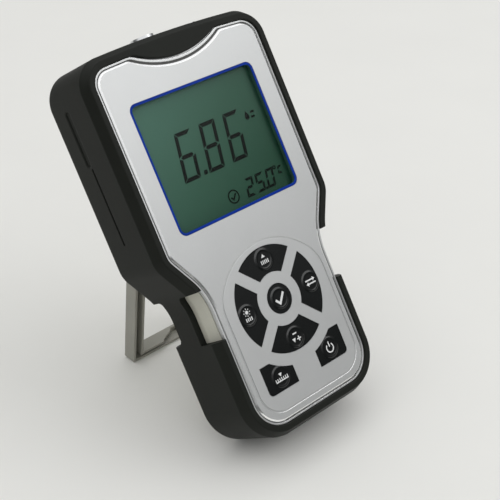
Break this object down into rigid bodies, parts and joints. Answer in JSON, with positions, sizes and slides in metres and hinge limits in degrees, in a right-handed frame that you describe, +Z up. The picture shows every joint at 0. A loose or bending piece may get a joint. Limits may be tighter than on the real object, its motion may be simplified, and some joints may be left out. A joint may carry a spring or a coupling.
{
  "type": "digital ph meter",
  "caption": "Handheld digital pH meter: silver faced case with segment display and ring keypad in a black rubber boot, electrode sockets on top, leaning on its opened kickstand.",
  "frame": {"origin": "on the table, under the centre of the meter's bounding box as it leans on its opened kickstand", "axes": "+Z up from the table, +X to the right of someone facing the display, -Y towards that person"},
  "size_m": [0.09, 0.1096, 0.1471],
  "materials": {
    "rubber": "moulded black rubber, fine matt grain",
    "housing_plastic": "beige-grey moulded ABS, light spark texture",
    "silver_paint": "satin silver paint with fine metallic flake on moulded plastic",
    "seal_rubber": "soft grey-black sealing rubber",
    "bezel_plastic": "deep blue printed gloss plastic",
    "clear_window": "clear acrylic, polished",
    "lcd": "grey-green liquid crystal cell, satin polariser",
    "white_plastic": "white moulded plastic",
    "conductive_rubber": "striped conductive silicone",
    "board": "green solder mask on glass epoxy",
    "chip_plastic": "black moulded epoxy",
    "component": "tan ceramic",
    "overlay_film": "satin silver polyester film",
    "key_black": "glossy black with white legends",
    "silicone": "grey silicone",
    "spring_steel": "nickel plated",
    "nickel": "nickel plated brass",
    "ptfe": "white insulator",
    "black_insulator": "black insulator",
    "gold": "gold flashed",
    "wire": "red insulated hook-up wire",
    "cell_jacket": "plain printed metal jacket",
    "stand_plastic": "light warm grey moulded plastic, spark texture",
    "steel": "bright zinc plated"
  },
  "bodies": {
    "meter": {"rubber_boot": "rubber", "rear_housing": "housing_plastic", "front_housing": "silver_paint", "housing_gasket": "seal_rubber", "display_bezel": "bezel_plastic", "display_window": "clear_window", "lcd_glass": "lcd", "lcd_holder": "white_plastic", "backlight_panel": "white_plastic", "zebra_strip": "conductive_rubber", "main_board": "board", "processor": "chip_plastic", "board_components": "component", "buzzer": "chip_plastic", "keypad_overlay": "overlay_film", "key_mat": "silicone", "snap_domes": "spring_steel", "bnc_shell": "nickel", "bnc_insulator": "ptfe", "bnc_contact": "gold", "bnc_washer": "nickel", "bnc_nut": "nickel", "temperature_socket": "nickel", "temperature_insulator": "black_insulator", "temperature_contact": "gold", "temperature_nut": "nickel", "signal_wires": "wire", "battery_cells": "cell_jacket", "battery_springs": "spring_steel", "battery_contacts": "spring_steel", "case_screws": "steel", "board_screws": "steel", "stand_pin": "steel"},
    "kickstand": {"kickstand": "stand_plastic"},
    "battery_door": {"battery_door": "housing_plastic", "door_seal": "seal_rubber", "door_screws": "steel"},
    "key_ok": {"key_ok": "key_black"},
    "key_up": {"key_up": "key_black"},
    "key_down": {"key_down": "key_black"},
    "key_left": {"key_left": "key_black"},
    "key_right": {"key_right": "key_black"},
    "key_calibrate": {"key_calibrate": "key_black"},
    "key_power": {"key_power": "key_black"}
  },
  "joints": [
    {"name": "kickstand_hinge", "type": "hinge", "parent": "meter", "child": "kickstand", "pos_m": [0, 0.02956, 0.09893], "axis": [1, 0, 0], "range_deg": [-39.2, 0]},
    {"name": "battery_door_lift", "type": "slide", "parent": "meter", "child": "battery_door", "axis": [0, 0.8387, -0.5446], "range_m": [0, 0.012]},
    {"name": "key_ok_press", "type": "slide", "parent": "meter", "child": "key_ok", "axis": [0, 0.8387, -0.5446], "range_m": [0, 0.0004], "stiffness_N_per_m": 300},
    {"name": "key_up_press", "type": "slide", "parent": "meter", "child": "key_up", "axis": [0, 0.8387, -0.5446], "range_m": [0, 0.0004], "stiffness_N_per_m": 300},
    {"name": "key_down_press", "type": "slide", "parent": "meter", "child": "key_down", "axis": [0, 0.8387, -0.5446], "range_m": [0, 0.0004], "stiffness_N_per_m": 300},
    {"name": "key_left_press", "type": "slide", "parent": "meter", "child": "key_left", "axis": [0, 0.8387, -0.5446], "range_m": [0, 0.0004], "stiffness_N_per_m": 300},
    {"name": "key_right_press", "type": "slide", "parent": "meter", "child": "key_right", "axis": [0, 0.8387, -0.5446], "range_m": [0, 0.0004], "stiffness_N_per_m": 300},
    {"name": "key_calibrate_press", "type": "slide", "parent": "meter", "child": "key_calibrate", "axis": [0, 0.8387, -0.5446], "range_m": [0, 0.0004], "stiffness_N_per_m": 300},
    {"name": "key_power_press", "type": "slide", "parent": "meter", "child": "key_power", "axis": [0, 0.8387, -0.5446], "range_m": [0, 0.0004], "stiffness_N_per_m": 300}
  ]
}
